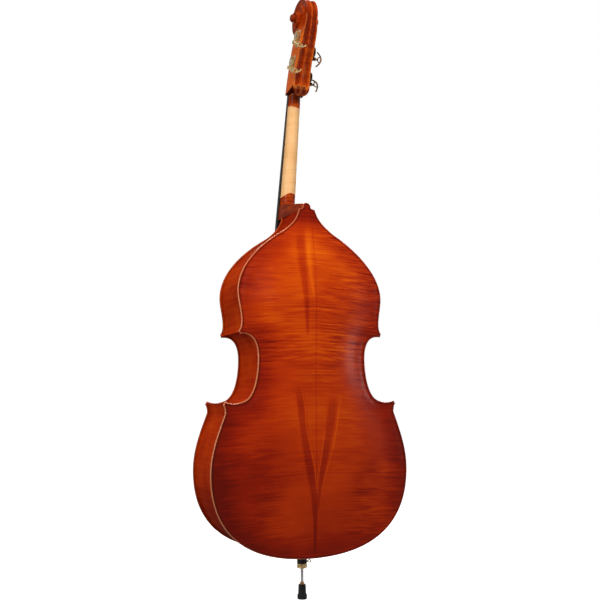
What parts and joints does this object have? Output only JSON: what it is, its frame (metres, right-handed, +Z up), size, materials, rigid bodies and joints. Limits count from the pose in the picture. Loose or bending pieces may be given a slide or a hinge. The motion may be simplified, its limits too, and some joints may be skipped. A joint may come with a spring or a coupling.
{
  "type": "double bass",
  "caption": "Upright double bass with sloping shoulders and violin corners, carved plates, geared tuning machines in an open pegbox with a scroll, and a sliding endpin.",
  "frame": {"origin": "centre of the endpin tip's flat underside", "axes": "+Z up along the body, +Y towards the back plate, -Y towards the belly and strings, +X towards the treble side"},
  "size_m": [0.67, 0.408, 1.9793],
  "materials": {
    "varnished_maple": "flamed maple under red-brown satin-gloss varnish",
    "varnished_spruce": "straight-grained spruce under red-brown satin-gloss varnish",
    "bare_spruce": "unvarnished spruce",
    "ebony": "oiled ebony",
    "bridge_maple": "unvarnished maple",
    "brass": "polished brass with light tarnish",
    "steel": "fine brushed steel",
    "copper": "polished copper-coloured metal",
    "rubber": "matte rubber"
  },
  "bodies": {
    "bass": {"back_plate": "varnished_maple", "lower_rib_treble": "varnished_maple", "c_rib_treble": "varnished_maple", "upper_rib_treble": "varnished_maple", "lower_rib_bass": "varnished_maple", "c_rib_bass": "varnished_maple", "upper_rib_bass": "varnished_maple", "neck": "varnished_maple", "top_plate": "varnished_spruce", "front_lining_treble": "bare_spruce", "back_lining_treble": "bare_spruce", "front_lining_bass": "bare_spruce", "back_lining_bass": "bare_spruce", "neck_block": "bare_spruce", "end_block": "bare_spruce", "lower_corner_block_treble": "bare_spruce", "upper_corner_block_treble": "bare_spruce", "lower_corner_block_bass": "bare_spruce", "upper_corner_block_bass": "bare_spruce", "bass_bar": "bare_spruce", "sound_post": "bare_spruce", "saddle": "ebony", "fingerboard": "ebony", "nut": "ebony", "tailpiece": "ebony", "endpin_plug": "ebony", "bridge": "bridge_maple", "machine_plate_e": "brass", "string_e": "steel", "machine_plate_g": "brass", "string_g": "steel", "machine_plate_a": "brass", "string_a": "steel", "machine_plate_d": "brass", "string_d": "steel", "tail_wire": "steel", "endpin_collar": "brass"},
    "endpin": {"endpin_rod": "steel", "endpin_ferrule": "copper", "endpin_tip": "rubber"},
    "thumbscrew": {"endpin_thumbscrew": "brass"},
    "key_e": {"worm_key_e": "brass"},
    "roller_e": {"gear_e": "brass", "roller_e": "steel", "gear_screw_e": "steel"},
    "key_g": {"worm_key_g": "brass"},
    "roller_g": {"gear_g": "brass", "roller_g": "steel", "gear_screw_g": "steel"},
    "key_a": {"worm_key_a": "brass"},
    "roller_a": {"gear_a": "brass", "roller_a": "steel", "gear_screw_a": "steel"},
    "key_d": {"worm_key_d": "brass"},
    "roller_d": {"gear_d": "brass", "roller_d": "steel", "gear_screw_d": "steel"}
  },
  "joints": [
    {"name": "endpin_slide", "type": "slide", "parent": "bass", "child": "endpin", "axis": [0, 0, 1], "range_m": [-0.25, 0.04]},
    {"name": "thumbscrew_turn", "type": "hinge", "parent": "bass", "child": "thumbscrew", "pos_m": [-0.018, 0, 0.114], "axis": [1, 0, 0], "range_deg": [-270, 0]},
    {"name": "worm_turn_e", "type": "hinge", "parent": "bass", "child": "key_e", "pos_m": [-0.03966, -0.0063, 1.71335], "axis": [0, 0.8949, -0.4462], "continuous": true},
    {"name": "roller_turn_e", "type": "hinge", "parent": "bass", "child": "roller_e", "pos_m": [-0.0294, 0.003, 1.732], "axis": [-0.9993, 0.0162, 0.0326], "continuous": true},
    {"name": "worm_turn_g", "type": "hinge", "parent": "bass", "child": "key_g", "pos_m": [0.03814, 0.01244, 1.75094], "axis": [0, 0.8949, -0.4462], "continuous": true},
    {"name": "roller_turn_g", "type": "hinge", "parent": "bass", "child": "roller_g", "pos_m": [0.02787, 0.02174, 1.76959], "axis": [0.9993, 0.0162, 0.0326], "continuous": true},
    {"name": "worm_turn_a", "type": "hinge", "parent": "bass", "child": "key_a", "pos_m": [-0.03661, 0.03118, 1.78852], "axis": [0, 0.8949, -0.4462], "continuous": true},
    {"name": "roller_turn_a", "type": "hinge", "parent": "bass", "child": "roller_a", "pos_m": [-0.02634, 0.04048, 1.80717], "axis": [-0.9993, 0.0162, 0.0326], "continuous": true},
    {"name": "worm_turn_d", "type": "hinge", "parent": "bass", "child": "key_d", "pos_m": [0.03508, 0.04992, 1.82611], "axis": [0, 0.8949, -0.4462], "continuous": true},
    {"name": "roller_turn_d", "type": "hinge", "parent": "bass", "child": "roller_d", "pos_m": [0.02481, 0.05922, 1.84476], "axis": [0.9993, 0.0162, 0.0326], "continuous": true}
  ],
  "couplings": [
    {"joint": "roller_turn_e", "follows": "worm_turn_e", "ratio": 0.045455},
    {"joint": "roller_turn_g", "follows": "worm_turn_g", "ratio": 0.045455},
    {"joint": "roller_turn_a", "follows": "worm_turn_a", "ratio": 0.045455},
    {"joint": "roller_turn_d", "follows": "worm_turn_d", "ratio": 0.045455}
  ]
}
